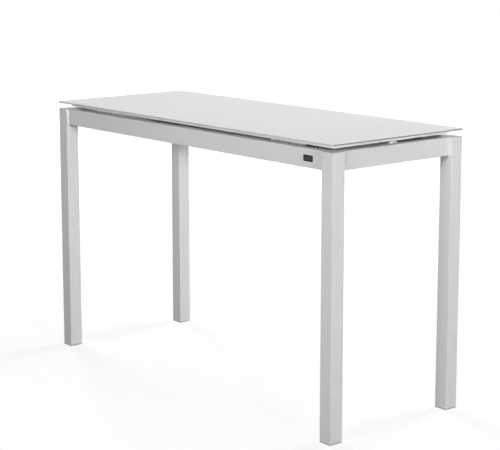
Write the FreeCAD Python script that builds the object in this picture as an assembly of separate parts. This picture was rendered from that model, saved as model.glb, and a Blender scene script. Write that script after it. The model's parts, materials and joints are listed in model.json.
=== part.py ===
"""Extending console table: a glass-topped console whose front frame pulls out on nests of slide bars.

Millimetres. X runs along the table, the front faces -Y and Z is up. The origin is on the floor, under the
middle of the closed table.
"""
import os

import FreeCAD
import Part

# Overall size of the closed table
TABLE_LENGTH = 1200.0
TABLE_DEPTH = 465.0
TABLE_HEIGHT = 755.0

# Glass and the board under it
GLASS_THICKNESS = 5.0
GLASS_CORNER_RADIUS = 3.0
GLASS_ARRIS = 0.6
GLASS_OVERHANG = 1.0  # past the outer faces of the legs
BOARD_THICKNESS = 10.0
BOARD_INSET = 28.0  # from the edge of the glass
BOARD_CORNER_RADIUS = 2.0
TOP_GAP = 6.0  # from the top of the frame to the board

# Legs, their caps and foot plugs
LEG_SIDE = 40.0
LEG_WALL = 2.0
TUBE_EDGE_RADIUS = 1.5
CAP_THICKNESS = 2.0
CAP_PLUG_DEPTH = 10.0
FOOT_THICKNESS = 3.0
FOOT_PLUG_HEIGHT = 18.0
PLUG_CLEARANCE = 0.2  # between a plug and the inside of its tube

# Rails, centred on the legs and level with their tops
RAIL_HEIGHT = 48.0
RAIL_WIDTH = 25.0
RAIL_WALL = 2.0
WELD_FILLET = 6.0  # under a rail, where it meets a leg
WELD_TOE = 0.3  # thickness of the fillet's thin edges
GUSSET_LEG = 60.0
GUSSET_THICKNESS = 3.0

# Stubs of rail on the backs of the front legs, and the end rails' plugs, whose pegs enter them
STUB_LENGTH = 10.0
STUB_PLATE = 3.0  # closes the stub, with a hole for the peg
SEAM_GAP = 1.0  # between a closed stub and the plug behind it
END_PLUG_FLANGE = 2.0
END_PLUG_DEPTH = 18.0
PEG_RADIUS = 5.0
PEG_CLEARANCE = 0.5
PEG_REACH = 4.0  # past the stub's plate

# Slide bars: one nest near each end, bars numbered from the outside in
SLIDE_STEPS = 5  # sliding joints in a nest, one less than its bars
STEP_TRAVEL = 270.0
SLIDE_FROM_END = 115.0  # from the end of the glass to the outer face of the nest
BAR_WIDTH = 24.6
BAR_HEIGHT = 34.0
BAR_WALL = 3.5
BAR_FLOOR = 4.5
BAR_TOP_CLEARANCE = 0.5  # between a sliding bar and the board
BAR_END_CLEARANCE = 3.0  # between a bar's free end and the rail that it faces
FIXED_BAR_SETBACK = 28.0  # of the fixed bars' front ends, behind the stage bars'
SLIDE_CLEARANCE = 0.4  # between neighbouring bars and round each tongue
GROOVE_LIP = 4.0
TONGUE_NECK_HEIGHT = 8.0
TONGUE_HEAD_HEIGHT = 18.0
TONGUE_HEAD_THICKNESS = 5.0

# Stop pins, each running in a slot in the next bar's tongue
STOP_PIN_RADIUS = 2.5
STOP_PIN_FROM_END = 15.0
STOP_SLOT_DEPTH = 3.0
STOP_CLEARANCE = 0.5
PIN_FIT = 0.05  # round a pin or a screw in the hole that holds it

# Flat ties between the left and right bars of a stage
TIE_WIDTH = 30.0
TIE_THICKNESS = 3.0
TIE_PAD = 1.0  # holds the tie clear of the bars that it passes under
TIE_GAP = 6.0

# Angle brackets under the fixed bars and the front bars
BRACKET_THICKNESS = 3.0
BRACKET_DROP = 18.0
BRACKET_REACH = 45.0
BRACKET_SIDE = 32.0  # past the bar, along the rail

# Screws
SCREW_RADIUS = 2.0
SCREW_HEAD_RADIUS = 4.0
SCREW_HEAD_HEIGHT = 2.4
SCREW_HOLE_CLEARANCE = 0.3
SOCKET_RADIUS = 1.7  # to the corners of the hexagon socket
SOCKET_DEPTH = 1.4
SCREW_BITE = 4.0  # into the floor of a bar
RAIL_BOLT_REACH = 6.0  # past the wall of a rail
BOARD_SCREW_BITE = 7.0
BOARD_SCREW_SPACING = 120.0
SCREW_EDGE = 9.0  # from a tie's or bracket's edge to the middle of a screw

# Rests between the rails and the board
REST_LENGTH = 24.0
REST_DEPTH = 10.0
REST_SLOT_WIDTH = 5.0
REST_SLOT_DEPTH = 8.0
REST_SLOT_OFFSET = 3.0  # from the middle of the rest
END_REST_OFFSET = -1.0  # behind the middle of the table
REAR_REST_FROM_END = 300.0  # from the end of the glass to the middle of the rest

# Plain badge on the front rail
BADGE_LENGTH = 33.0
BADGE_HEIGHT = 16.0
BADGE_THICKNESS = 1.2
BADGE_CORNER_RADIUS = 2.5
BADGE_FROM_END = 97.0  # from the end of the glass to the middle of the badge

# Heights
board_bottom = TABLE_HEIGHT - GLASS_THICKNESS - BOARD_THICKNESS
glass_bottom = TABLE_HEIGHT - GLASS_THICKNESS
frame_top = board_bottom - TOP_GAP
rail_bottom = frame_top - RAIL_HEIGHT
rail_middle = frame_top - RAIL_HEIGHT / 2
bar_top = board_bottom - BAR_TOP_CLEARANCE
bar_bottom = bar_top - BAR_HEIGHT
bar_middle = bar_top - BAR_HEIGHT / 2

# Places along X and Y
half_length = TABLE_LENGTH / 2
half_depth = TABLE_DEPTH / 2
leg_outer_x = half_length - GLASS_OVERHANG
leg_outer_y = half_depth - GLASS_OVERHANG
leg_inner_x = leg_outer_x - LEG_SIDE
leg_inner_y = leg_outer_y - LEG_SIDE
rail_recess = (LEG_SIDE - RAIL_WIDTH) / 2
rail_outer_x = leg_outer_x - rail_recess
rail_outer_y = leg_outer_y - rail_recess
rail_inner_x = rail_outer_x - RAIL_WIDTH
rail_inner_y = rail_outer_y - RAIL_WIDTH
rail_middle_x = (rail_outer_x + rail_inner_x) / 2
stub_end_y = -(leg_inner_y - STUB_LENGTH)
plug_front_y = stub_end_y + SEAM_GAP
bar_end_y = rail_inner_y - BAR_END_CLEARANCE
nest_outer_x = half_length - SLIDE_FROM_END

# Section of a slide bar, measured inwards from the outer face of its nest
bar_pitch = BAR_WIDTH + SLIDE_CLEARANCE
groove_depth = GROOVE_LIP + TONGUE_HEAD_THICKNESS + 2 * SLIDE_CLEARANCE
tongue_neck = 2 * SLIDE_CLEARANCE + GROOVE_LIP
chamber_width = BAR_WIDTH - 2 * BAR_WALL - groove_depth

# A cutting tool runs past the faces that it opens by this much
PAST = 1.0

LEFT, RIGHT = -1, 1
FRONT, REAR = -1, 1
SIDE_NAMES = {LEFT: "left", RIGHT: "right"}
X_AXIS = FreeCAD.Vector(1, 0, 0)
Y_AXIS = FreeCAD.Vector(0, 1, 0)
Z_AXIS = FreeCAD.Vector(0, 0, 1)


def box(x_pair, y_pair, z_pair):
    """A box between two values on each axis, in either order."""
    low = [min(pair) for pair in (x_pair, y_pair, z_pair)]
    size = [abs(pair[1] - pair[0]) for pair in (x_pair, y_pair, z_pair)]
    return Part.makeBox(*size, FreeCAD.Vector(*low))


def around(middle, width):
    """The pair of values that lie half a width on each side of a middle."""
    return middle - width / 2, middle + width / 2


def rounded(shape, axis, radius):
    """The shape with its straight edges along an axis rounded."""
    edges = []
    for edge in shape.Edges:
        direction = edge.tangentAt(edge.FirstParameter)
        if abs(abs(direction.dot(axis)) - 1) < 1e-6:
            edges.append(edge)
    return shape.makeFillet(radius, edges)


def cylinder(radius, start, direction, length):
    return Part.makeCylinder(radius, length, start, direction)


def screw(seat, direction, length):
    """A socket-head screw whose head sits on the seat and whose shank runs along the direction."""
    head = cylinder(SCREW_HEAD_RADIUS, seat, direction * -1, SCREW_HEAD_HEIGHT)
    shank = cylinder(SCREW_RADIUS, seat, direction, length)
    bottom = seat - direction * (SCREW_HEAD_HEIGHT - SOCKET_DEPTH)
    circle = Part.makeCircle(SOCKET_RADIUS, bottom, direction)
    corners = circle.discretize(7)
    socket = Part.Face(Part.makePolygon(corners)).extrude(direction * -(SOCKET_DEPTH + PAST))
    return head.fuse(shank).cut(socket).removeSplitter()


def screw_hole(seat, direction, length, clearance):
    """The hole that a screw's shank needs, from just before its seat."""
    start = seat - direction * PAST
    return cylinder(SCREW_RADIUS + clearance, start, direction, length + PAST)


def leg(side, end):
    """A square leg tube, open at both ends."""
    x_pair = (side * leg_inner_x, side * leg_outer_x)
    y_pair = (end * leg_inner_y, end * leg_outer_y)
    z_pair = (FOOT_THICKNESS, frame_top - CAP_THICKNESS)
    tube = rounded(box(x_pair, y_pair, z_pair), Z_AXIS, TUBE_EDGE_RADIUS)
    middle_x, middle_y = sum(x_pair) / 2, sum(y_pair) / 2
    inside = LEG_SIDE - 2 * LEG_WALL
    bore = box(around(middle_x, inside), around(middle_y, inside), (z_pair[0] - PAST, z_pair[1] + PAST))
    return tube.cut(bore)


def leg_plug(side, end, z_flange, z_plug):
    """A square flange over a leg's end, with a plug inside the tube."""
    x_pair = (side * leg_inner_x, side * leg_outer_x)
    y_pair = (end * leg_inner_y, end * leg_outer_y)
    flange = rounded(box(x_pair, y_pair, z_flange), Z_AXIS, TUBE_EDGE_RADIUS)
    inside = LEG_SIDE - 2 * LEG_WALL - 2 * PLUG_CLEARANCE
    plug = box(around(sum(x_pair) / 2, inside), around(sum(y_pair) / 2, inside), z_plug)
    return flange.fuse(plug).removeSplitter()


def leg_cap(side, end):
    top = (frame_top - CAP_THICKNESS, frame_top)
    return leg_plug(side, end, top, (top[0] - CAP_PLUG_DEPTH, top[0]))


def foot_plug(side, end):
    bottom = (0, FOOT_THICKNESS)
    return leg_plug(side, end, bottom, (bottom[1], bottom[1] + FOOT_PLUG_HEIGHT))


def weld_fillet(corner, along, across):
    """The small hollow fillet under a rail, at a corner on the leg's face and the rail's bottom."""
    radius = WELD_FILLET - WELD_TOE
    half_way = radius * 0.5 ** 0.5
    centre = corner + along * WELD_FILLET - Z_AXIS * WELD_FILLET
    foot = centre - along * radius
    crown = centre + Z_AXIS * radius
    hollow = Part.Arc(foot, centre + (Z_AXIS - along) * half_way, crown).toShape()
    leg_toe = corner - Z_AXIS * WELD_FILLET
    rail_toe = corner + along * WELD_FILLET
    sides = Part.makePolygon([crown, rail_toe, corner, leg_toe, foot])
    width = RAIL_WIDTH - 2 * TUBE_EDGE_RADIUS
    profile = Part.Face(Part.Wire(Part.__sortEdges__([hollow] + sides.Edges)))
    profile.translate(across * (-width / 2))
    return profile.extrude(across * width)


def cross_rail(end):
    """The front or rear rail, welded between two legs."""
    middle_y = end * (rail_outer_y + rail_inner_y) / 2
    outer = box((-leg_inner_x, leg_inner_x), around(middle_y, RAIL_WIDTH), (rail_bottom, frame_top))
    tube = rounded(outer, X_AXIS, TUBE_EDGE_RADIUS)
    bore = box((-leg_outer_x, leg_outer_x), around(middle_y, RAIL_WIDTH - 2 * RAIL_WALL),
               (rail_bottom + RAIL_WALL, frame_top - RAIL_WALL))
    tube = tube.cut(bore)
    for side in (LEFT, RIGHT):
        corner = FreeCAD.Vector(side * leg_inner_x, middle_y, rail_bottom)
        tube = tube.fuse(weld_fillet(corner, X_AXIS * -side, Y_AXIS))
    for side in (LEFT, RIGHT):
        for seat, direction in rail_bolt_seats(side, end):
            tube = tube.cut(screw_hole(seat, direction, rail_bolt_length, PIN_FIT))
    return tube.removeSplitter()


def leg_stub(side):
    """A short length of rail on the back of a front leg, closed by a plate with the peg's hole."""
    middle_x = side * rail_middle_x
    outer = box(around(middle_x, RAIL_WIDTH), (-leg_inner_y, stub_end_y), (rail_bottom, frame_top))
    stub = rounded(outer, Y_AXIS, TUBE_EDGE_RADIUS)
    hollow = box(around(middle_x, RAIL_WIDTH - 2 * RAIL_WALL), (-leg_inner_y - PAST, stub_end_y - STUB_PLATE),
                 (rail_bottom + RAIL_WALL, frame_top - RAIL_WALL))
    corner = FreeCAD.Vector(middle_x, -leg_inner_y, rail_bottom)
    stub = stub.cut(hollow).fuse(weld_fillet(corner, Y_AXIS, X_AXIS))
    start = FreeCAD.Vector(middle_x, stub_end_y + PAST, rail_middle)
    hole = cylinder(PEG_RADIUS + PEG_CLEARANCE, start, Y_AXIS * -1, STUB_PLATE + 2 * PAST)
    return stub.cut(hole).removeSplitter()


def end_rail(side):
    """An end rail, welded to the rear leg and plugged at its front end."""
    middle_x = side * rail_middle_x
    front_y = plug_front_y + END_PLUG_FLANGE
    outer = box(around(middle_x, RAIL_WIDTH), (front_y, leg_inner_y), (rail_bottom, frame_top))
    tube = rounded(outer, Y_AXIS, TUBE_EDGE_RADIUS)
    bore = box(around(middle_x, RAIL_WIDTH - 2 * RAIL_WALL), (front_y - PAST, leg_inner_y + PAST),
               (rail_bottom + RAIL_WALL, frame_top - RAIL_WALL))
    corner = FreeCAD.Vector(middle_x, leg_inner_y, rail_bottom)
    return tube.cut(bore).fuse(weld_fillet(corner, Y_AXIS * -1, X_AXIS)).removeSplitter()


def end_rail_plug(side):
    """The plug in an end rail's front end, with the peg that locates the closed front leg's stub."""
    middle_x = side * rail_middle_x
    flange_back = plug_front_y + END_PLUG_FLANGE
    flange = box(around(middle_x, RAIL_WIDTH), (plug_front_y, flange_back), (rail_bottom, frame_top))
    flange = rounded(flange, Y_AXIS, TUBE_EDGE_RADIUS)
    play = 2 * RAIL_WALL + 2 * PLUG_CLEARANCE
    plug = box(around(middle_x, RAIL_WIDTH - play), (flange_back, flange_back + END_PLUG_DEPTH),
               around(rail_middle, RAIL_HEIGHT - play))
    start = FreeCAD.Vector(middle_x, plug_front_y, rail_middle)
    peg = cylinder(PEG_RADIUS, start, Y_AXIS * -1, SEAM_GAP + STUB_PLATE + PEG_REACH)
    return flange.fuse(plug).fuse(peg).removeSplitter()


def corner_gusset(side):
    """A flat gusset in a rear corner, cut round the leg and welded under the rails' tops."""
    corners = [(rail_inner_x, leg_inner_y), (leg_inner_x, leg_inner_y), (leg_inner_x, rail_inner_y),
               (leg_inner_x - GUSSET_LEG, rail_inner_y), (rail_inner_x, leg_inner_y - GUSSET_LEG)]
    points = [FreeCAD.Vector(side * x, y, rail_middle) for x, y in corners]
    face = Part.Face(Part.makePolygon(points + points[:1]))
    return face.extrude(Z_AXIS * GUSSET_THICKNESS)


def top_glass():
    slab = box((-half_length, half_length), (-half_depth, half_depth), (glass_bottom, TABLE_HEIGHT))
    slab = rounded(slab, Z_AXIS, GLASS_CORNER_RADIUS)
    rims = [edge for edge in slab.Edges if edge.BoundBox.ZLength < PAST / 2]
    return slab.makeChamfer(GLASS_ARRIS, rims)


def top_board():
    reach_x, reach_y = half_length - BOARD_INSET, half_depth - BOARD_INSET
    board = box((-reach_x, reach_x), (-reach_y, reach_y), (board_bottom, glass_bottom))
    board = rounded(board, Z_AXIS, BOARD_CORNER_RADIUS)
    for seat in board_screw_seats():
        board = board.cut(screw_hole(seat, Z_AXIS, board_screw_length, PIN_FIT))
    return board


def nest_x(side, inward):
    """The X value at a distance inwards from a nest's outer face."""
    return side * (nest_outer_x - inward)


def nest_box(side, inward_pair, y_pair, z_pair):
    """A box in a nest, whose first pair is measured inwards from the nest's outer face."""
    return box([nest_x(side, inward) for inward in inward_pair], y_pair, z_pair)


def bar_y_pair(number):
    """A bar's two ends: the first bar reaches the rear rail and the last one the front rail."""
    if number == 0:
        return FIXED_BAR_SETBACK - bar_end_y, rail_inner_y
    front = -rail_inner_y if number == SLIDE_STEPS else -bar_end_y
    return front, bar_end_y


def stop_y(number):
    """Where the stop pin of a bar is, near its front end."""
    return bar_y_pair(number)[0] + STOP_PIN_FROM_END


def tongue(side, number):
    """A bar's T tongue, with the milled slot that the stop pin runs in."""
    root = number * bar_pitch
    y_pair = bar_y_pair(number)
    shoulder = root - tongue_neck
    face = shoulder - TONGUE_HEAD_THICKNESS
    neck = nest_box(side, (shoulder, root), y_pair, around(bar_middle, TONGUE_NECK_HEIGHT))
    head = nest_box(side, (face, shoulder), y_pair, around(bar_middle, TONGUE_HEAD_HEIGHT))
    room = STOP_PIN_RADIUS + STOP_CLEARANCE
    pin_y = stop_y(number - 1)
    slot = nest_box(side, (face - PAST, face + STOP_SLOT_DEPTH), (pin_y - room, pin_y + STEP_TRAVEL + room),
                    around(bar_middle, 2 * room))
    return neck.fuse(head.cut(slot))


def groove(side, number):
    """The T groove in a bar's inner face, for the next bar's tongue."""
    mouth = number * bar_pitch + BAR_WIDTH
    front, rear = bar_y_pair(number)
    y_pair = (front - PAST, rear + PAST)
    lip = mouth - GROOVE_LIP
    slot = nest_box(side, (lip, mouth + PAST), y_pair,
                    around(bar_middle, TONGUE_NECK_HEIGHT + 2 * SLIDE_CLEARANCE))
    cavity = nest_box(side, (mouth - groove_depth, lip), y_pair,
                      around(bar_middle, TONGUE_HEAD_HEIGHT + 2 * SLIDE_CLEARANCE))
    return slot.fuse(cavity)


def slide_bar(side, number):
    """One hollow bar of a nest, with its tongue, groove, pin hole and screw holes."""
    outer = number * bar_pitch
    y_pair = bar_y_pair(number)
    top = board_bottom if number == 0 else bar_top
    bar = nest_box(side, (outer, outer + BAR_WIDTH), y_pair, (bar_bottom, top))
    chamber_end = outer + BAR_WALL + chamber_width
    if number == SLIDE_STEPS:
        chamber_end = outer + BAR_WIDTH - BAR_WALL
    chamber = nest_box(side, (outer + BAR_WALL, chamber_end), (y_pair[0] - PAST, y_pair[1] + PAST),
                       (bar_bottom + BAR_FLOOR, top - BAR_FLOOR))
    bar = bar.cut(chamber)
    if number > 0:
        bar = bar.fuse(tongue(side, number))
    if number < SLIDE_STEPS:
        start, direction, length = stop_pin_line(side, number)
        bar = bar.cut(groove(side, number)).cut(cylinder(STOP_PIN_RADIUS + PIN_FIT, start, direction, length))
    for seat in bar_screw_seats(side, number):
        bar = bar.cut(screw_hole(seat, Z_AXIS, bar_bottom - seat.z + SCREW_BITE, PIN_FIT))
    if number == 0:
        for seat in board_screw_seats():
            bar = bar.cut(screw_hole(seat, Z_AXIS, board_screw_length, SCREW_HOLE_CLEARANCE))
    return bar.removeSplitter()


def stop_pin_line(side, number):
    """Where a bar's stop pin starts, its direction and its length."""
    outer = number * bar_pitch
    root = outer + BAR_WALL + chamber_width
    length = BAR_WALL + SLIDE_CLEARANCE + STOP_SLOT_DEPTH - STOP_CLEARANCE
    return FreeCAD.Vector(nest_x(side, root), stop_y(number), bar_middle), X_AXIS * -side, length


def stop_pins(number):
    pins = [cylinder(STOP_PIN_RADIUS, *stop_pin_line(side, number)) for side in (LEFT, RIGHT)]
    return Part.makeCompound(pins)


def tie_y(stage):
    """The middle of a stage's tie: the stage that travels furthest has the front one."""
    return (SLIDE_STEPS / 2 - stage) * (TIE_WIDTH + TIE_GAP)


def tie(stage):
    """The flat bar under a stage, from its left slide bar to its right one."""
    outer = stage * bar_pitch
    y_pair = around(tie_y(stage), TIE_WIDTH)
    pad_bottom = bar_bottom - TIE_PAD
    strip = box((nest_x(LEFT, outer), nest_x(RIGHT, outer)), y_pair, (pad_bottom - TIE_THICKNESS, pad_bottom))
    for side in (LEFT, RIGHT):
        strip = strip.fuse(nest_box(side, (outer, outer + BAR_WIDTH), y_pair, (pad_bottom, bar_bottom)))
        for seat in bar_screw_seats(side, stage):
            strip = strip.cut(screw_hole(seat, Z_AXIS, TIE_THICKNESS + TIE_PAD + PAST, SCREW_HOLE_CLEARANCE))
    return strip.removeSplitter()


def bracket_inward_pair(end):
    """How far in a bracket starts and ends: outside the fixed bar, or inside the front bar."""
    if end == REAR:
        return -BRACKET_SIDE, BAR_WIDTH
    outer = SLIDE_STEPS * bar_pitch
    return outer, outer + BAR_WIDTH + BRACKET_SIDE


def slide_bracket(side, end):
    """The angle under a fixed or front bar, bolted to the inside of its rail."""
    inward = bracket_inward_pair(end)
    rail_y = end * rail_inner_y
    shelf = nest_box(side, inward, (rail_y, rail_y - end * BRACKET_REACH),
                     (bar_bottom - BRACKET_THICKNESS, bar_bottom))
    apron = nest_box(side, inward, (rail_y, rail_y - end * BRACKET_THICKNESS),
                     (bar_bottom - BRACKET_DROP, bar_bottom))
    angle = shelf.fuse(apron)
    for seat in bar_screw_seats(side, 0 if end == REAR else SLIDE_STEPS):
        angle = angle.cut(screw_hole(seat, Z_AXIS, BRACKET_THICKNESS + PAST, SCREW_HOLE_CLEARANCE))
    for seat, direction in rail_bolt_seats(side, end):
        angle = angle.cut(screw_hole(seat, direction, BRACKET_THICKNESS + PAST, SCREW_HOLE_CLEARANCE))
    return angle.removeSplitter()


def bar_screw_seats(side, number):
    """Where the screws under a bar seat: on its tie, or on its bracket."""
    x = nest_x(side, number * bar_pitch + BAR_WIDTH / 2)
    if 0 < number < SLIDE_STEPS:
        z = bar_bottom - TIE_PAD - TIE_THICKNESS
        y_values = around(tie_y(number), TIE_WIDTH - 2 * SCREW_EDGE)
    else:
        end = REAR if number == 0 else FRONT
        z = bar_bottom - BRACKET_THICKNESS
        first = BRACKET_REACH - SCREW_EDGE
        second = BRACKET_THICKNESS + SCREW_HEAD_HEIGHT + SCREW_EDGE
        y_values = [end * (rail_inner_y - reach) for reach in (first, second)]
    return [FreeCAD.Vector(x, y, z) for y in y_values]


rail_bolt_length = BRACKET_THICKNESS + RAIL_WALL + RAIL_BOLT_REACH


def rail_bolt_seats(side, end):
    """Where the bolts through a bracket's apron seat, and the way they point."""
    start, stop = bracket_inward_pair(end)
    z = bar_bottom - (BRACKET_DROP + BRACKET_THICKNESS) / 2
    y = end * (rail_inner_y - BRACKET_THICKNESS)
    inward_values = (start + SCREW_EDGE, stop - SCREW_EDGE)
    return [(FreeCAD.Vector(nest_x(side, inward), y, z), Y_AXIS * end) for inward in inward_values]


def slide_bolts(end):
    """The bolts of both brackets at one end of the slides."""
    bolts = []
    for side in (LEFT, RIGHT):
        for seat, direction in rail_bolt_seats(side, end):
            bolts.append(screw(seat, direction, rail_bolt_length))
        for seat in bar_screw_seats(side, 0 if end == REAR else SLIDE_STEPS):
            bolts.append(screw(seat, Z_AXIS, BRACKET_THICKNESS + SCREW_BITE))
    return Part.makeCompound(bolts)


def tie_screws(stage):
    length = TIE_THICKNESS + TIE_PAD + SCREW_BITE
    seats = [seat for side in (LEFT, RIGHT) for seat in bar_screw_seats(side, stage)]
    return Part.makeCompound([screw(seat, Z_AXIS, length) for seat in seats])


board_screw_length = board_bottom - bar_bottom + BOARD_SCREW_BITE


def board_screw_seats():
    """Where the long screws up through the fixed bars seat."""
    inward = BAR_WALL + chamber_width / 2
    rows = (-BOARD_SCREW_SPACING, 0, BOARD_SCREW_SPACING)
    return [FreeCAD.Vector(nest_x(side, inward), y, bar_bottom) for side in (LEFT, RIGHT) for y in rows]


def board_screws():
    return Part.makeCompound([screw(seat, Z_AXIS, board_screw_length) for seat in board_screw_seats()])


def rest_block(across, along, inner, outward, middle):
    """A rest on a rail's inner edge, as high as the gap, with a slot in its outer face."""
    def slab(depth_pair, width_pair):
        corners = [across * (inner + outward * depth) + along * width
                   for depth in depth_pair for width in width_pair]
        x_values = [corner.x for corner in corners]
        y_values = [corner.y for corner in corners]
        return box((min(x_values), max(x_values)), (min(y_values), max(y_values)), (frame_top, board_bottom))

    block = slab((0, REST_DEPTH), around(middle, REST_LENGTH))
    slot = slab((REST_DEPTH - REST_SLOT_DEPTH, REST_DEPTH + PAST),
                around(middle + REST_SLOT_OFFSET, REST_SLOT_WIDTH))
    return block.cut(slot)


def end_board_rest(side):
    return rest_block(X_AXIS, Y_AXIS, side * rail_inner_x, side, END_REST_OFFSET)


def rear_board_rests():
    middles = [side * (half_length - REAR_REST_FROM_END) for side in (LEFT, RIGHT)]
    return Part.makeCompound([rest_block(Y_AXIS, X_AXIS, rail_inner_y, REAR, middle) for middle in middles])


def badge_plate():
    middle_x = half_length - BADGE_FROM_END
    plate = box(around(middle_x, BADGE_LENGTH), (-rail_outer_y - BADGE_THICKNESS, -rail_outer_y),
                around(rail_middle, BADGE_HEIGHT))
    return rounded(plate, Y_AXIS, BADGE_CORNER_RADIUS)


def console_table():
    """Every node's shape by name."""
    nodes = {}
    for end, end_name in ((FRONT, "front"), (REAR, "rear")):
        for side, side_name in SIDE_NAMES.items():
            corner = f"{end_name}_{side_name}"
            nodes[f"{corner}_leg"] = leg(side, end)
            nodes[f"{corner}_leg_cap"] = leg_cap(side, end)
            nodes[f"{corner}_foot"] = foot_plug(side, end)
            nodes[f"{corner}_slide_bracket"] = slide_bracket(side, end)
        nodes[f"{end_name}_rail"] = cross_rail(end)
        nodes[f"{end_name}_slide_bolts"] = slide_bolts(end)
    for side, side_name in SIDE_NAMES.items():
        nodes[f"{side_name}_end_rail"] = end_rail(side)
        nodes[f"{side_name}_end_rail_plug"] = end_rail_plug(side)
        nodes[f"{side_name}_board_rest"] = end_board_rest(side)
        nodes[f"{side_name}_fixed_bar"] = slide_bar(side, 0)
        nodes[f"{side_name}_front_bar"] = slide_bar(side, SLIDE_STEPS)
    for stage in range(1, SLIDE_STEPS):
        for side, side_name in SIDE_NAMES.items():
            nodes[f"{side_name}_stage_{stage}_bar"] = slide_bar(side, stage)
        nodes[f"stage_{stage}_tie"] = tie(stage)
        nodes[f"stage_{stage}_tie_screws"] = tie_screws(stage)
        nodes[f"stage_{stage}_stop_pins"] = stop_pins(stage)
    nodes["fixed_bar_stop_pins"] = stop_pins(0)
    nodes["front_leg_stubs"] = Part.makeCompound([leg_stub(side) for side in (LEFT, RIGHT)])
    nodes["rear_corner_gussets"] = Part.makeCompound([corner_gusset(side) for side in (LEFT, RIGHT)])
    nodes["rear_board_rests"] = rear_board_rests()
    nodes["board_screws"] = board_screws()
    nodes["badge_plate"] = badge_plate()
    nodes["top_board"] = top_board()
    nodes["top_glass"] = top_glass()
    return nodes


os.makedirs("parts", exist_ok=True)
for name, shape in console_table().items():
    shape.exportStep(f"parts/{name}.step")
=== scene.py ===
"""Looks of the extending console table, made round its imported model.

Metres, in the model's own frame: X runs along the table, the front faces -Y and Z is up.
"""

import json
import math

import bmesh
import bpy
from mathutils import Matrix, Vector

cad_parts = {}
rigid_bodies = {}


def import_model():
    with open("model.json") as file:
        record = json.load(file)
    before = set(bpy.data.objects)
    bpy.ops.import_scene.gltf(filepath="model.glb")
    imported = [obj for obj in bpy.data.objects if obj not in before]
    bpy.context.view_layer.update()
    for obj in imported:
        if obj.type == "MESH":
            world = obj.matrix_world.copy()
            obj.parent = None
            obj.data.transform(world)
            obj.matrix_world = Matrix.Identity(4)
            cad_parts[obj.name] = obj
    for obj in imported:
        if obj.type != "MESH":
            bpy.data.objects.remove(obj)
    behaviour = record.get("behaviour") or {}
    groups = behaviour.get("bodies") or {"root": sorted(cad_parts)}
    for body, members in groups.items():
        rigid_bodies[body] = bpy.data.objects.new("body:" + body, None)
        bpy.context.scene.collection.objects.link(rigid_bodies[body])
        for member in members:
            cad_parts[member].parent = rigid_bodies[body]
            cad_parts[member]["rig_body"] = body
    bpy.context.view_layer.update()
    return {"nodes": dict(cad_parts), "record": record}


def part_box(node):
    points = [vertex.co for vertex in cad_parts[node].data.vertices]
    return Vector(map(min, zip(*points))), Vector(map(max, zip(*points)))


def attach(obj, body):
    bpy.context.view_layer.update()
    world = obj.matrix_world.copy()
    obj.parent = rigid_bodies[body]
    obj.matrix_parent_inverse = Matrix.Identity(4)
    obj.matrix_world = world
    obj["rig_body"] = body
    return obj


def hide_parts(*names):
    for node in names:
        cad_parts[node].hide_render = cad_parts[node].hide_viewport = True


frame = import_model()

MM = 0.001

# Camera: a long lens somewhat above the table, off its right front corner
CAMERA_PLACE = (3.098, -2.611, 1.256)
CAMERA_PITCH = math.radians(9.47)
CAMERA_YAW = math.radians(49.71)
CAMERA_LENS = 104.7
CAMERA_SENSOR = 36.0
CAMERA_SHIFT = -0.10

# Floor and backdrop: white to look at, dark in the light that it gives back
FLOOR_SIZE = 60.0
FLOOR_GLOW_NEAR = 0.78
FLOOR_GLOW_FAR = 1.0
FLOOR_NEAR = 1.0
FLOOR_FAR = 4.5
FLOOR_SHADOW = (0.30, 0.30, 0.30, 1)
FLOOR_BOUNCE = (0.05, 0.05, 0.05, 1)

# Softboxes: place, what each is aimed at, width, height, spread in degrees and watts
SOFTBOXES = {
    "right_softbox": ((26.0, -4.0, 3.0), (0.0, 0.0, 0.7), 14.0, 6.8, 180, 980.0),
    "raised_right_softbox": ((26.0, -4.0, 5.4), (0.0, 0.0, 2.7), 14.0, 6.8, 9, 165.0),
    "front_softbox": ((2.0, -7.5, 2.2), (0.7, -0.23, 0.9), 2.5, 2.0, 32, 15.4),
    "overhead_softbox": ((0.2, 0.7, 2.8), (0.1, 0.2, 0.75), 2.4, 1.6, 180, 14.5),
    "left_softbox": ((-13.2, 3.3, 6.1), (0.0, 0.0, 0.6), 5.0, 4.0, 180, 1280.0),
    "rear_softbox": ((0.0, 13.6, 6.1), (0.0, 0.0, 0.6), 5.0, 4.0, 180, 1280.0),
}

# Meshes copied from the model
MERGE_DISTANCE = 0.002 * MM
FLAT_ANGLE = math.radians(0.5)
SHARP_ANGLE = math.radians(30)
EASE_SEGMENTS = 2

# How far the sharp edges of each finish are eased
EASED_EDGES = {
    "slide_aluminium": 0.25 * MM,
    "bracket_steel": 0.35 * MM,
    "grey_plastic": 0.7 * MM,
    "cap_plastic": 0.35 * MM,
    "white_nylon": 0.5 * MM,
    "white_board": 0.3 * MM,
    "badge_black": 0.2 * MM,
}

# A face is square to an axis, or an arris, by how far its normal leans that way
FLAT_LEAN = 0.98
ARRIS_LEAN = 0.2

# Finishes: the span that most of a noise falls in, and how strongly paint and glass bend light
NOISE_LOW = 0.3
NOISE_HIGH = 0.7
PAINT_IOR = 1.48
GLASS_IOR = 1.52

# Badge: a rim round a sunk field
BADGE_RIM = 2.0 * MM
BADGE_FIELD_DEPTH = 0.4 * MM

# Ribs along the tops of the sliding bars, with crowns that are a share of their width
RIB_COUNT = 5
RIB_PITCH = 3.6 * MM
RIB_WIDTH = 1.6 * MM
RIB_CROWN = 0.6
RIB_HEIGHT = 0.25 * MM
RIB_END_MARGIN = 2.0 * MM

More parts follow.
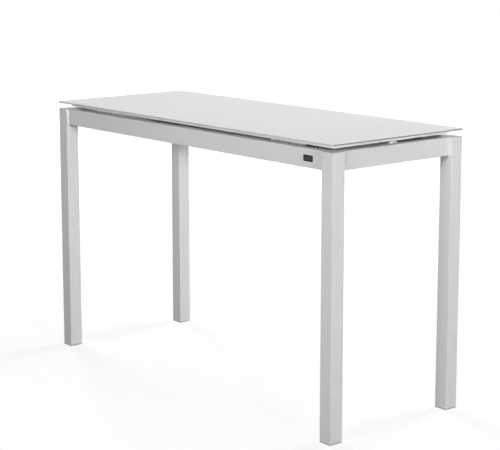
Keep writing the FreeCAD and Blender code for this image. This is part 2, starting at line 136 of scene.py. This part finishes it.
# Screws: heads with hexagon sockets on plain shanks; what lies beyond the rim radius is head
SCREW_SIDES = 24
SHANK_SIDES = 16
SCREW_HEAD_RADIUS = 4.0 * MM
SCREW_HEAD_HEIGHT = 2.4 * MM
SCREW_HEAD_CHAMFER = 0.5 * MM
SCREW_SOCKET_RADIUS = 1.7 * MM
SCREW_SOCKET_DEPTH = 1.4 * MM
SCREW_SHANK_RADIUS = 2.0 * MM
SCREW_RIM_FROM = 1.5 * SCREW_SHANK_RADIUS
HALF_SIDE_ANGLE = math.pi / 6
HEADING = "heading"
SHANK_LENGTH = "shank_length"


def add_node(tree, kind, inputs=None, **settings):
    """A node with its settings made, and its inputs set, or linked where the value is a socket."""
    node = tree.nodes.new(kind)
    for name, value in settings.items():
        setattr(node, name, value)
    for name, value in (inputs or {}).items():
        if isinstance(value, bpy.types.NodeSocket):
            tree.links.new(value, node.inputs[name])
        else:
            node.inputs[name].default_value = value
    return node


def math_node(tree, operation, *values):
    """The result of one operation on numbers or sockets."""
    return add_node(tree, "ShaderNodeMath", dict(enumerate(values)), operation=operation).outputs[0]


def vector_node(tree, operation, inputs):
    """The result of one operation on vectors."""
    return add_node(tree, "ShaderNodeVectorMath", inputs, operation=operation).outputs["Vector"]


def new_finish(name):
    """A material, its tree and its shader."""
    material = bpy.data.materials.new(name)
    material.use_nodes = True
    return material, material.node_tree, material.node_tree.nodes["Principled BSDF"]


def place_on_piece(tree, stretch=(1, 1, 1)):
    """The place on a piece in metres, stretched along its axes."""
    place = add_node(tree, "ShaderNodeTexCoord").outputs["Object"]
    return add_node(tree, "ShaderNodeMapping", {"Vector": place, "Scale": stretch}).outputs["Vector"]


def noise(tree, per_metre, stretch=(1, 1, 1), detail=2.0):
    """A soft random grey with about so many blotches to the metre."""
    inputs = {"Vector": place_on_piece(tree, stretch), "Scale": per_metre, "Detail": detail}
    return add_node(tree, "ShaderNodeTexNoise", inputs).outputs[0]


def cells(tree, per_metre):
    """One random grey for each cell of a broken pattern."""
    inputs = {"Vector": place_on_piece(tree), "Scale": per_metre}
    colour = add_node(tree, "ShaderNodeTexVoronoi", inputs).outputs["Color"]
    return add_node(tree, "ShaderNodeSeparateColor", {"Color": colour}).outputs["Red"]


def tones(tree, factor, dark, light, low=NOISE_LOW, high=NOISE_HIGH):
    """A colour between two tones."""
    ramp = add_node(tree, "ShaderNodeValToRGB", {"Fac": factor})
    for stop, place, colour in zip(ramp.color_ramp.elements, (low, high), (dark, light)):
        stop.position = place
        stop.color = (*colour, 1)
    return ramp.outputs["Color"]


def between(tree, factor, low, high):
    """A number between two limits, where the factor is a noise about its middle."""
    inputs = {"Value": factor, "From Min": NOISE_LOW, "From Max": NOISE_HIGH, "To Min": low, "To Max": high}
    return add_node(tree, "ShaderNodeMapRange", inputs).outputs["Result"]


def dress(tree, shader, colour, roughness, height, depth):
    """Links a shader's colour, roughness and bump, whose depth is in metres."""
    tree.links.new(colour, shader.inputs["Base Color"])
    tree.links.new(roughness, shader.inputs["Roughness"])
    bump = add_node(tree, "ShaderNodeBump", {"Height": height, "Distance": depth})
    tree.links.new(bump.outputs["Normal"], shader.inputs["Normal"])


def powder_coat():
    """White powder coat: a fine orange peel with slight clouding."""
    material, tree, shader = new_finish("white_powder_coat")
    peel = noise(tree, per_metre=900, detail=3)
    cloud = noise(tree, per_metre=6)
    colour = tones(tree, cloud, dark=(0.785, 0.79, 0.785), light=(0.81, 0.815, 0.81))
    roughness = between(tree, peel, 0.24, 0.32)
    dress(tree, shader, colour, roughness, peel, depth=0.02 * MM)
    shader.inputs["IOR"].default_value = PAINT_IOR
    return material


def etched_glass():
    """The white face of the glass, satin etched."""
    material, tree, shader = new_finish("etched_white_glass")
    etch = noise(tree, per_metre=2600)
    cloud = noise(tree, per_metre=2.5)
    colour = tones(tree, cloud, dark=(0.775, 0.79, 0.785), light=(0.80, 0.815, 0.81))
    roughness = between(tree, etch, 0.36, 0.46)
    dress(tree, shader, colour, roughness, etch, depth=0.008 * MM)
    shader.inputs["IOR"].default_value = GLASS_IOR
    return material


def glass_edge(name, foot, crest):
    """A polished edge of the glass, grey-green and darker towards its foot."""
    material, tree, shader = new_finish(name)
    low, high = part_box("top_glass")
    place = add_node(tree, "ShaderNodeTexCoord").outputs["Object"]
    rise = add_node(tree, "ShaderNodeSeparateXYZ", {"Vector": place}).outputs["Z"]
    share = add_node(tree, "ShaderNodeMapRange",
                     {"Value": rise, "From Min": low.z, "From Max": high.z}).outputs["Result"]
    lines = noise(tree, per_metre=300, stretch=(1, 1, 0.05))
    colour = tones(tree, share, dark=foot, light=crest, low=0.1, high=0.8)
    roughness = between(tree, lines, 0.10, 0.20)
    dress(tree, shader, colour, roughness, lines, depth=0.01 * MM)
    shader.inputs["IOR"].default_value = GLASS_IOR
    return material


def glass_arris():
    """The ground arris along the edges of the glass."""
    material, tree, shader = new_finish("ground_glass_arris")
    grind = noise(tree, per_metre=3000)
    colour = tones(tree, grind, dark=(0.80, 0.83, 0.82), light=(0.88, 0.90, 0.89))
    roughness = between(tree, grind, 0.45, 0.6)
    dress(tree, shader, colour, roughness, grind, depth=0.01 * MM)
    return material


def melamine():
    """White melamine with a faint pearl grain."""
    material, tree, shader = new_finish("white_melamine")
    pearl = noise(tree, per_metre=1400, detail=4)
    cloud = noise(tree, per_metre=9)
    colour = tones(tree, cloud, dark=(0.775, 0.775, 0.76), light=(0.80, 0.80, 0.785))
    roughness = between(tree, pearl, 0.42, 0.58)
    dress(tree, shader, colour, roughness, pearl, depth=0.02 * MM)
    return material


def board_band_painted_light():
    """The plastic band on the board's edges, with fine lines along it: a real white edging, painted whiter
    than the flats as painted light.
    """
    material, tree, shader = new_finish("white_board_band_painted_light")
    lines = noise(tree, per_metre=700, stretch=(0.03, 0.03, 1))
    # Whiter than the melamine: partly a real white edging, partly painted light for the edge that lies in
    # the glass's shade.
    colour = tones(tree, lines, dark=(0.85, 0.85, 0.84), light=(0.89, 0.89, 0.88))
    roughness = between(tree, lines, 0.32, 0.45)
    dress(tree, shader, colour, roughness, lines, depth=0.01 * MM)
    return material


def anodised_aluminium():
    """Extruded aluminium: die lines along the bar under a satin anodised skin."""
    material, tree, shader = new_finish("anodised_aluminium")
    die_lines = noise(tree, per_metre=1100, stretch=(1, 0.004, 1), detail=4)
    colour = tones(tree, die_lines, dark=(0.49, 0.50, 0.51), light=(0.60, 0.61, 0.615))
    roughness = between(tree, die_lines, 0.18, 0.27)
    dress(tree, shader, colour, roughness, die_lines, depth=0.006 * MM)
    shader.inputs["Metallic"].default_value = 1.0
    return material


def sawn_aluminium():
    """The sawn ends of the bars: bare metal with fine cross marks from the blade."""
    material, tree, shader = new_finish("sawn_aluminium")
    marks = noise(tree, per_metre=900, stretch=(1, 1, 0.1), detail=3)
    colour = tones(tree, marks, dark=(0.62, 0.63, 0.635), light=(0.73, 0.74, 0.745))
    roughness = between(tree, marks, 0.36, 0.50)
    dress(tree, shader, colour, roughness, marks, depth=0.02 * MM)
    shader.inputs["Metallic"].default_value = 1.0
    return material


def galvanised_steel():
    """Folded steel with the spangle of a zinc coat."""
    material, tree, shader = new_finish("galvanised_steel")
    spangle = cells(tree, per_metre=160)
    colour = tones(tree, spangle, dark=(0.35, 0.36, 0.37), light=(0.49, 0.50, 0.51), low=0.0, high=1.0)
    roughness = between(tree, spangle, 0.26, 0.38)
    waviness = noise(tree, per_metre=500)
    dress(tree, shader, colour, roughness, waviness, depth=0.01 * MM)
    shader.inputs["Metallic"].default_value = 0.9
    return material


def zinc_plate():
    """Bright zinc plate on the screws and pins."""
    material, tree, shader = new_finish("zinc_plate")
    blotch = noise(tree, per_metre=350, detail=3)
    colour = tones(tree, blotch, dark=(0.53, 0.53, 0.51), light=(0.66, 0.65, 0.62))
    roughness = between(tree, blotch, 0.24, 0.38)
    grain = noise(tree, per_metre=2500)
    dress(tree, shader, colour, roughness, grain, depth=0.006 * MM)
    shader.inputs["Metallic"].default_value = 1.0
    return material


def moulded_plastic(name, dark, light, per_metre=1200):
    """Moulded plastic with a fine spark-eroded texture."""
    material, tree, shader = new_finish(name)
    texture = noise(tree, per_metre, detail=3)
    cloud = noise(tree, per_metre=30)
    colour = tones(tree, cloud, dark, light)
    roughness = between(tree, texture, 0.45, 0.6)
    dress(tree, shader, colour, roughness, texture, depth=0.03 * MM)
    return material


def nylon():
    """Milky nylon that lets a little light in."""
    material = moulded_plastic("milky_nylon", (0.79, 0.79, 0.765), (0.83, 0.83, 0.805), per_metre=900)
    shader = material.node_tree.nodes["Principled BSDF"]
    shader.inputs["Subsurface Weight"].default_value = 0.15
    shader.inputs["Subsurface Radius"].default_value = (1.5 * MM, 1.4 * MM, 1.2 * MM)
    return material


def badge_rim():
    """Black lacquer on the badge's rim."""
    material, tree, shader = new_finish("black_lacquer")
    film = noise(tree, per_metre=700)
    colour = tones(tree, film, dark=(0.006, 0.006, 0.006), light=(0.010, 0.010, 0.010))
    roughness = between(tree, film, 0.40, 0.50)
    dress(tree, shader, colour, roughness, film, depth=0.005 * MM)
    shader.inputs["Specular IOR Level"].default_value = 0.08
    return material


def badge_field():
    """The badge's bare field, brushed dark metal."""
    material, tree, shader = new_finish("brushed_dark_metal")
    brush = noise(tree, per_metre=2200, stretch=(0.02, 1, 1), detail=4)
    colour = tones(tree, brush, dark=(0.025, 0.026, 0.024), light=(0.06, 0.061, 0.058))
    roughness = between(tree, brush, 0.4, 0.55)
    dress(tree, shader, colour, roughness, brush, depth=0.01 * MM)
    shader.inputs["Metallic"].default_value = 0.3
    shader.inputs["Specular IOR Level"].default_value = 0.3
    return material


def link_piece(name, mesh):
    """A piece of the scene with a mesh of its own."""
    piece = bpy.data.objects.new(name, mesh)
    bpy.context.scene.collection.objects.link(piece)
    return piece


def settle(piece):
    """Turns a piece's modifiers into plain mesh."""
    made = piece.evaluated_get(bpy.context.evaluated_depsgraph_get())
    mesh = bpy.data.meshes.new_from_object(made)
    piece.modifiers.clear()
    piece.data = mesh
    return piece


def body_of(node):
    """The body that a node moves with."""
    return frame["nodes"][node]["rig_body"]


def merged_copy(node):
    """A node's mesh with its loose triangles joined and its flat faces made whole."""
    mesh = frame["nodes"][node].data.copy()
    form = bmesh.new()
    form.from_mesh(mesh)
    bmesh.ops.remove_doubles(form, verts=form.verts, dist=MERGE_DISTANCE)
    bmesh.ops.dissolve_limit(form, angle_limit=FLAT_ANGLE, verts=form.verts, edges=form.edges)
    form.to_mesh(mesh)
    form.free()
    mesh.materials.clear()
    mesh.shade_smooth()
    mesh.set_sharp_from_angle(angle=SHARP_ANGLE)
    return mesh


def stand_for(piece, node):
    """Puts a piece in the place of its node."""
    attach(piece, body_of(node))
    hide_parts(node)


def eased_piece(node, width):
    """A copy of a node with its sharp edges eased."""
    piece = link_piece(f"{node}_eased", merged_copy(node))
    ease = piece.modifiers.new("Eased edges", "BEVEL")
    ease.width = width
    ease.segments = EASE_SEGMENTS
    ease.limit_method = "ANGLE"
    ease.angle_limit = SHARP_ANGLE
    ease.harden_normals = True
    return settle(piece)


def paint_faces(piece, finishes, choose):
    """Gives a piece several finishes and picks one for each face."""
    for finish in finishes:
        piece.data.materials.append(finish)
    for face in piece.data.polygons:
        face.material_index = choose(face)


def glass_face(face):
    """0 on the flats of the glass, 1 on its arris, 2 on its long edges and 3 on its ends."""
    across, along, lean = (abs(part) for part in face.normal)
    if lean > FLAT_LEAN:
        return 0
    if lean > ARRIS_LEAN:
        return 1
    return 3 if across > along else 2


def dress_glass():
    """The pane: etched flats, ground arrises, and edges whose two ends are painted darker, as painted
    shade.
    """
    piece = link_piece("top_glass_pane", merged_copy("top_glass"))
    long_edge = glass_edge("polished_glass_edge", foot=(0.58, 0.61, 0.595), crest=(0.72, 0.745, 0.735))
    # The ends take the same polished edge in darker tones: painted shade on the two ends of the pane.
    shaded_end_edge = glass_edge("polished_glass_end_painted_shade", foot=(0.29, 0.31, 0.30), crest=(0.36, 0.38, 0.37))
    paint_faces(piece, [etched_glass(), glass_arris(), long_edge, shaded_end_edge], glass_face)
    stand_for(piece, "top_glass")


def dress_board():
    """The board: melamine on its flats and a band on its edges, whose extra white is partly painted light.
    """
    piece = eased_piece("top_board", EASED_EDGES["white_board"])
    paint_faces(piece, [melamine(), board_band_painted_light()], lambda face: 0 if abs(face.normal.z) > FLAT_LEAN else 1)
    stand_for(piece, "top_board")


def sink_field(piece):
    """Sinks a field into the badge's front, inside its rim."""
    form = bmesh.new()
    form.from_mesh(piece.data)
    front = max(form.faces, key=lambda face: -face.normal.y * face.calc_area())
    bmesh.ops.inset_region(form, faces=[front], thickness=BADGE_RIM, depth=0)
    bmesh.ops.inset_region(form, faces=[front], thickness=BADGE_FIELD_DEPTH, depth=-BADGE_FIELD_DEPTH)
    for face in form.faces:
        face.material_index = 1 if face == front else 0
    form.to_mesh(piece.data)
    form.free()


def dress_badge():
    """The badge: a black rim round a sunk field of brushed metal."""
    piece = eased_piece("badge_plate", EASED_EDGES["badge_black"])
    piece.data.materials.append(badge_rim())
    piece.data.materials.append(badge_field())
    sink_field(piece)
    stand_for(piece, "badge_plate")


def dress_bar(node, skin, sawn):
    """Gives a slide bar its skin along its length and a sawn finish on its two ends."""
    piece = eased_piece(node, EASED_EDGES["slide_aluminium"])
    paint_faces(piece, [skin, sawn], lambda face: 1 if abs(face.normal.y) > FLAT_LEAN else 0)
    stand_for(piece, node)


def dress_nodes(slots, finishes):
    """Gives every other node the finish of its slot, with eased edges where the finish has them."""
    for node, slot in slots.items():
        if slot not in finishes:
            continue
        if slot in EASED_EDGES:
            piece = eased_piece(node, EASED_EDGES[slot])
            piece.data.materials.append(finishes[slot])
            stand_for(piece, node)
        else:
            materials = frame["nodes"][node].data.materials
            materials.clear()
            materials.append(finishes[slot])


def new_geometry_tree(name, inputs):
    """A geometry tree with named inputs after its geometry."""
    tree = bpy.data.node_groups.new(name, "GeometryNodeTree")
    tree.is_modifier = True
    tree.interface.new_socket("Geometry", in_out="INPUT", socket_type="NodeSocketGeometry")
    tree.interface.new_socket("Geometry", in_out="OUTPUT", socket_type="NodeSocketGeometry")
    for label, kind in inputs.items():
        tree.interface.new_socket(label, in_out="INPUT", socket_type=kind)
    return tree, tree.nodes.new("NodeGroupInput").outputs


def end_tree(tree, geometry, material):
    """Ends a tree with real geometry in one finish."""
    real = add_node(tree, "GeometryNodeRealizeInstances", {"Geometry": geometry})
    painted = add_node(tree, "GeometryNodeSetMaterial",
                       {"Geometry": real.outputs["Geometry"], "Material": material})
    add_node(tree, "NodeGroupOutput", {"Geometry": painted.outputs["Geometry"]})


def grow(name, points, tree, values, attributes=None):
    """A mesh piece that a tree makes on a set of points."""
    mesh = bpy.data.meshes.new(name)
    mesh.from_pydata(points, [], [])
    for label, rows in (attributes or {}).items():
        kind, key = ("FLOAT_VECTOR", "vector") if hasattr(rows[0], "__len__") else ("FLOAT", "value")
        data = mesh.attributes.new(label, kind, "POINT").data
        for item, value in zip(data, rows):
            setattr(item, key, value)
    piece = link_piece(name, mesh)
    modifier = piece.modifiers.new(tree.name, "NODES")
    modifier.node_group = tree
    for item in tree.interface.items_tree:
        if item.in_out == "INPUT" and item.name in values:
            modifier[item.identifier] = values[item.name]
    return settle(piece)


def rib_tree():
    """Rows of low ribs with tapered crowns, each row stepping along X from one point."""
    tree, given = new_geometry_tree("Bar ribs", {
        "Rib count": "NodeSocketInt", "Rib pitch": "NodeSocketFloat", "Rib width": "NodeSocketFloat",
        "Rib height": "NodeSocketFloat", "Rib length": "NodeSocketFloat", "Rib crown": "NodeSocketFloat",
        "Finish": "NodeSocketMaterial"})
    size = add_node(tree, "ShaderNodeCombineXYZ",
                    {"X": given["Rib width"], "Y": given["Rib length"], "Z": given["Rib height"]})
    block = add_node(tree, "GeometryNodeMeshCube", {"Size": size.outputs["Vector"]})
    place = add_node(tree, "GeometryNodeInputPosition").outputs["Position"]
    rise = add_node(tree, "ShaderNodeSeparateXYZ", {"Vector": place}).outputs["Z"]
    upper = add_node(tree, "FunctionNodeCompare", {"A": rise, "B": 0.0}, operation="GREATER_THAN")
    narrow = add_node(tree, "ShaderNodeCombineXYZ", {"X": given["Rib crown"], "Y": 1.0, "Z": 1.0})
    crown = vector_node(tree, "MULTIPLY", {0: place, 1: narrow.outputs["Vector"]})
    rib = add_node(tree, "GeometryNodeSetPosition", {
        "Geometry": block.outputs["Mesh"], "Selection": upper.outputs["Result"], "Position": crown})
    step = add_node(tree, "ShaderNodeCombineXYZ", {"X": given["Rib pitch"]})
    row = add_node(tree, "GeometryNodeMeshLine",
                   {"Count": given["Rib count"], "Offset": step.outputs["Vector"]}, mode="OFFSET")
    ribs = add_node(tree, "GeometryNodeInstanceOnPoints",
                    {"Points": row.outputs["Mesh"], "Instance": rib.outputs["Geometry"]})
    rows = add_node(tree, "GeometryNodeInstanceOnPoints",
                    {"Points": given["Geometry"], "Instance": ribs.outputs["Instances"]})
    end_tree(tree, rows.outputs["Instances"], given["Finish"])
    return tree


def top_face(node):
    """Lowest and highest corner of a node's top face."""
    points = [vertex.co for vertex in frame["nodes"][node].data.vertices]
    level = max(point.z for point in points)
    top = [point for point in points if level - point.z < MERGE_DISTANCE]
    low = Vector([min(point[axis] for point in top) for axis in range(3)])
    high = Vector([max(point[axis] for point in top) for axis in range(3)])
    return low, high


def rib_bars(tree, body, bars, finish):
    """The ribs on the tops of a body's bars, as one piece."""
    corners = [top_face(bar) for bar in bars]
    half_row = (RIB_COUNT - 1) * RIB_PITCH / 2
    starts = [(low + high) / 2 + Vector((-half_row, 0, RIB_HEIGHT / 2)) for low, high in corners]
    length = corners[0][1].y - corners[0][0].y - 2 * RIB_END_MARGIN
    piece = grow(f"{body}_bar_ribs", starts, tree, {
        "Rib count": RIB_COUNT, "Rib pitch": RIB_PITCH, "Rib width": RIB_WIDTH, "Rib height": RIB_HEIGHT,
        "Rib length": length, "Rib crown": RIB_CROWN, "Finish": finish})
    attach(piece, body)


def hexagon_radius(tree, place, radius):
    """How far a hexagon's side is from its middle, in the direction of a place."""
    axes = add_node(tree, "ShaderNodeSeparateXYZ", {"Vector": place}).outputs
    turn = math_node(tree, "ARCTAN2", axes["Y"], axes["X"])
    sixth = math_node(tree, "FLOORED_MODULO", turn, 2 * HALF_SIDE_ANGLE)
    aside = math_node(tree, "SUBTRACT", sixth, HALF_SIDE_ANGLE)
    side = math_node(tree, "MULTIPLY", radius, math.cos(HALF_SIDE_ANGLE))
    return math_node(tree, "DIVIDE", side, math_node(tree, "COSINE", aside))


def hexagon_rim(tree, mesh, top, radius):
    """Draws the rim of the top face in to a hexagon."""
    place = add_node(tree, "GeometryNodeInputPosition").outputs["Position"]
    axes = add_node(tree, "ShaderNodeSeparateXYZ", {"Vector": place}).outputs
    flat = add_node(tree, "ShaderNodeCombineXYZ", {"X": axes["X"], "Y": axes["Y"]}).outputs["Vector"]
    level = add_node(tree, "ShaderNodeCombineXYZ", {"Z": axes["Z"]}).outputs["Vector"]
    outward = vector_node(tree, "NORMALIZE", {0: flat})
    reach = vector_node(tree, "SCALE", {0: outward, "Scale": hexagon_radius(tree, place, radius)})
    rim = vector_node(tree, "ADD", {0: reach, 1: level})
    return add_node(tree, "GeometryNodeSetPosition",
                    {"Geometry": mesh, "Selection": top, "Position": rim}).outputs["Geometry"]


def join_shapes(tree, *shapes):
    """Several shapes as one."""
    node = add_node(tree, "GeometryNodeJoinGeometry")
    for shape in shapes:
        tree.links.new(shape, node.inputs["Geometry"])
    return node.outputs["Geometry"]


def raise_face(tree, mesh, selection, height):
    """Extrudes the chosen faces; returns the mesh and the moved face."""
    inputs = {"Mesh": mesh, "Offset Scale": height, "Individual": False}
    if selection is not None:
        inputs["Selection"] = selection
    node = add_node(tree, "GeometryNodeExtrudeMesh", inputs, mode="FACES")
    return node.outputs["Mesh"], node.outputs["Top"]


def screw_head(tree, given):
    """A closed chamfered head with a hexagon socket, standing on its seat."""
    disc = add_node(tree, "GeometryNodeMeshCircle",
                    {"Vertices": SCREW_SIDES, "Radius": given["Head radius"]},
                    fill_type="NGON").outputs["Mesh"]
    wall = math_node(tree, "SUBTRACT", given["Head height"], given["Head chamfer"])
    mesh, top = raise_face(tree, disc, None, wall)
    mesh, top = raise_face(tree, mesh, top, given["Head chamfer"])
    slope = math_node(tree, "DIVIDE", given["Head chamfer"], given["Head radius"])
    narrowed = math_node(tree, "SUBTRACT", 1.0, slope)
    mesh = add_node(tree, "GeometryNodeScaleElements",
                    {"Geometry": mesh, "Selection": top, "Scale": narrowed}).outputs["Geometry"]
    mesh, top = raise_face(tree, mesh, top, 0.0)
    mesh = hexagon_rim(tree, mesh, top, given["Socket radius"])
    sink = math_node(tree, "MULTIPLY", given["Socket depth"], -1.0)
    mesh, top = raise_face(tree, mesh, top, sink)
    under = add_node(tree, "GeometryNodeFlipFaces", {"Mesh": disc}).outputs["Mesh"]
    return add_node(tree, "GeometryNodeMergeByDistance", {
        "Geometry": join_shapes(tree, mesh, under), "Distance": MERGE_DISTANCE}).outputs["Geometry"]


def screw_tree():
    """A socket screw on each point, headed along one attribute and as long as another."""
    tree, given = new_geometry_tree("Socket screws", {
        "Head radius": "NodeSocketFloat", "Head height": "NodeSocketFloat",
        "Head chamfer": "NodeSocketFloat", "Socket radius": "NodeSocketFloat",
        "Socket depth": "NodeSocketFloat", "Shank radius": "NodeSocketFloat",
        "Finish": "NodeSocketMaterial"})
    heading = add_node(tree, "GeometryNodeInputNamedAttribute", {"Name": HEADING},
                       data_type="FLOAT_VECTOR").outputs["Attribute"]
    turn = add_node(tree, "FunctionNodeAlignRotationToVector", {"Vector": heading},
                    axis="Z").outputs["Rotation"]
    length = add_node(tree, "GeometryNodeInputNamedAttribute", {"Name": SHANK_LENGTH},
                      data_type="FLOAT").outputs["Attribute"]
    # A rod of length 1 below the seat, which each point stretches to its own length
    rod = add_node(tree, "GeometryNodeMeshCylinder",
                   {"Vertices": SHANK_SIDES, "Radius": given["Shank radius"], "Depth": 1.0})
    shank = add_node(tree, "GeometryNodeTransform",
                     {"Geometry": rod.outputs["Mesh"], "Translation": (0, 0, -0.5)})
    stretch = add_node(tree, "ShaderNodeCombineXYZ", {"X": 1.0, "Y": 1.0, "Z": length})
    heads = add_node(tree, "GeometryNodeInstanceOnPoints", {
        "Points": given["Geometry"], "Instance": screw_head(tree, given), "Rotation": turn})
    shanks = add_node(tree, "GeometryNodeInstanceOnPoints", {
        "Points": given["Geometry"], "Instance": shank.outputs["Geometry"], "Rotation": turn,
        "Scale": stretch.outputs["Vector"]})
    screws = join_shapes(tree, heads.outputs["Instances"], shanks.outputs["Instances"])
    end_tree(tree, screws, given["Finish"])
    return tree


def separate_shapes(node):
    """The points of each separate shape in a node."""
    form = bmesh.new()
    form.from_mesh(frame["nodes"][node].data)
    bmesh.ops.remove_doubles(form, verts=form.verts, dist=MERGE_DISTANCE)
    shapes, seen = [], set()
    for first in form.verts:
        if first in seen:
            continue
        seen.add(first)
        shape, waiting = [], [first]
        while waiting:
            vertex = waiting.pop()
            shape.append(vertex.co.copy())
            near = [edge.other_vert(vertex) for edge in vertex.link_edges]
            fresh = [other for other in near if other not in seen]
            seen.update(fresh)
            waiting.extend(fresh)
        shapes.append(shape)
    form.free()
    return shapes


def screw_line(shape):
    """A screw's seat, the way its head points and the length of its shank."""
    low = [min(point[axis] for point in shape) for axis in range(3)]
    high = [max(point[axis] for point in shape) for axis in range(3)]
    long = max(range(3), key=lambda axis: high[axis] - low[axis])
    middle = [(a + b) / 2 for a, b in zip(low, high)]
    across = [axis for axis in range(3) if axis != long]
    rim = [point[long] for point in shape
           if math.hypot(*(point[axis] - middle[axis] for axis in across)) > SCREW_RIM_FROM]
    headed_up = sum(rim) / len(rim) > middle[long]
    seat = Vector(middle)
    seat[long] = min(rim) if headed_up else max(rim)
    heading = Vector((0, 0, 0))
    heading[long] = 1 if headed_up else -1
    length = seat[long] - low[long] if headed_up else high[long] - seat[long]
    return seat, heading, length


def screw_piece(tree, body, nodes, finish):
    """All of a body's screws, as one piece."""
    lines = [screw_line(shape) for node in nodes for shape in separate_shapes(node)]
    seats, headings, lengths = zip(*lines)
    sizes = {
        "Head radius": SCREW_HEAD_RADIUS, "Head height": SCREW_HEAD_HEIGHT,
        "Head chamfer": SCREW_HEAD_CHAMFER, "Socket radius": SCREW_SOCKET_RADIUS,
        "Socket depth": SCREW_SOCKET_DEPTH, "Shank radius": SCREW_SHANK_RADIUS, "Finish": finish}
    piece = grow(f"{body}_screws", seats, tree, sizes, {HEADING: headings, SHANK_LENGTH: lengths})
    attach(piece, body)
    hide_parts(*nodes)


def by_body(nodes):
    """Node names in groups, one for each body."""
    groups = {}
    for node in nodes:
        groups.setdefault(body_of(node), []).append(node)
    return groups


def ray_seen_direct(tree):
    """1 for rays from the camera, and for those that gloss and glass send on."""
    path = add_node(tree, "ShaderNodeLightPath").outputs
    seen = math_node(tree, "MAXIMUM", path["Is Camera Ray"], path["Is Glossy Ray"])
    return math_node(tree, "MAXIMUM", seen, path["Is Transmission Ray"])


def make_floor():
    """A white floor that keeps the table's shadow."""
    material = bpy.data.materials.new("white_floor")
    material.use_nodes = True
    tree = material.node_tree
    tree.nodes.clear()
    place = add_node(tree, "ShaderNodeTexCoord").outputs["Object"]
    reach = add_node(tree, "ShaderNodeVectorMath", {0: place}, operation="LENGTH").outputs["Value"]
    level = add_node(tree, "ShaderNodeMapRange", {
        "Value": reach, "From Min": FLOOR_NEAR, "From Max": FLOOR_FAR,
        "To Min": FLOOR_GLOW_NEAR, "To Max": FLOOR_GLOW_FAR}).outputs["Result"]
    glow = add_node(tree, "ShaderNodeEmission", {"Strength": level})
    shadow = add_node(tree, "ShaderNodeBsdfDiffuse", {"Color": FLOOR_SHADOW})
    shown = add_node(tree, "ShaderNodeAddShader", {0: glow.outputs[0], 1: shadow.outputs[0]})
    bounce = add_node(tree, "ShaderNodeBsdfDiffuse", {"Color": FLOOR_BOUNCE})
    choice = add_node(tree, "ShaderNodeMixShader",
                      {0: ray_seen_direct(tree), 1: bounce.outputs[0], 2: shown.outputs[0]})
    add_node(tree, "ShaderNodeOutputMaterial", {"Surface": choice.outputs[0]})
    half = FLOOR_SIZE / 2
    corners = [(-half, -half, 0), (half, -half, 0), (half, half, 0), (-half, half, 0)]
    mesh = bpy.data.meshes.new("floor")
    mesh.from_pydata(corners, [], [(0, 1, 2, 3)])
    mesh.materials.append(material)
    link_piece("floor", mesh)


def make_world():
    """A white surround to look at, which gives no light of its own."""
    world = bpy.data.worlds.new("studio")
    world.use_nodes = True
    bpy.context.scene.world = world
    tree = world.node_tree
    backdrop = tree.nodes["Background"]
    backdrop.inputs["Color"].default_value = (1, 1, 1, 1)
    tree.links.new(ray_seen_direct(tree), backdrop.inputs["Strength"])


def make_softbox(name, place, target, width, height, spread, watts):
    """A lamp that lights the table but shows neither in the picture nor in its gloss."""
    lamp = bpy.data.lights.new(name, "AREA")
    lamp.shape = "RECTANGLE"
    lamp.size = width
    lamp.size_y = height
    lamp.spread = math.radians(spread)
    lamp.energy = watts
    light = bpy.data.objects.new(name, lamp)
    light.location = place
    light.rotation_euler = (Vector(target) - Vector(place)).to_track_quat("-Z", "Y").to_euler()
    light.visible_camera = False
    light.visible_glossy = False
    bpy.context.scene.collection.objects.link(light)


def make_camera():
    """The scene's own camera, level across and tilted down."""
    lens = bpy.data.cameras.new("camera")
    lens.lens = CAMERA_LENS
    lens.sensor_width = CAMERA_SENSOR
    lens.shift_y = CAMERA_SHIFT
    camera = bpy.data.objects.new("camera", lens)
    camera.location = CAMERA_PLACE
    camera.rotation_euler = (math.pi / 2 - CAMERA_PITCH, 0, CAMERA_YAW)
    bpy.context.scene.collection.objects.link(camera)
    bpy.context.scene.camera = camera


def dress_table():
    """Every piece of the table in its finish."""
    aluminium, sawn, zinc = anodised_aluminium(), sawn_aluminium(), zinc_plate()
    grey_plastic = moulded_plastic("grey_moulded_plastic", (0.37, 0.38, 0.38), (0.42, 0.43, 0.43))
    cap_plastic = moulded_plastic("white_moulded_plastic", (0.755, 0.765, 0.755), (0.785, 0.795, 0.785))
    finishes = {
        "white_paint": powder_coat(),
        "slide_aluminium": aluminium,
        "bracket_steel": galvanised_steel(),
        "zinc_steel": zinc,
        "grey_plastic": grey_plastic,
        "cap_plastic": cap_plastic,
        "white_nylon": nylon(),
    }
    slots = {row["node"]: row["material_slot"] for row in frame["record"]["subparts"]}
    screws = [node for node in slots if node.endswith(("_screws", "_bolts"))]
    bars = [node for node in slots if node.endswith("_bar")]
    dress_nodes({node: slot for node, slot in slots.items() if node not in screws + bars}, finishes)
    for bar in bars:
        dress_bar(bar, aluminium, sawn)
    dress_glass()
    dress_board()
    dress_badge()
    screw_form, rib_form = screw_tree(), rib_tree()
    for body, nodes in by_body(screws).items():
        screw_piece(screw_form, body, nodes, zinc)
    sliding = [bar for bar in bars if not bar.endswith("_fixed_bar")]
    for body, ribbed in by_body(sliding).items():
        rib_bars(rib_form, body, ribbed, aluminium)


dress_table()
make_floor()
make_world()
for softbox, settings in SOFTBOXES.items():
    make_softbox(softbox, *settings)
make_camera()
bpy.context.scene.view_settings.view_transform = "Standard"
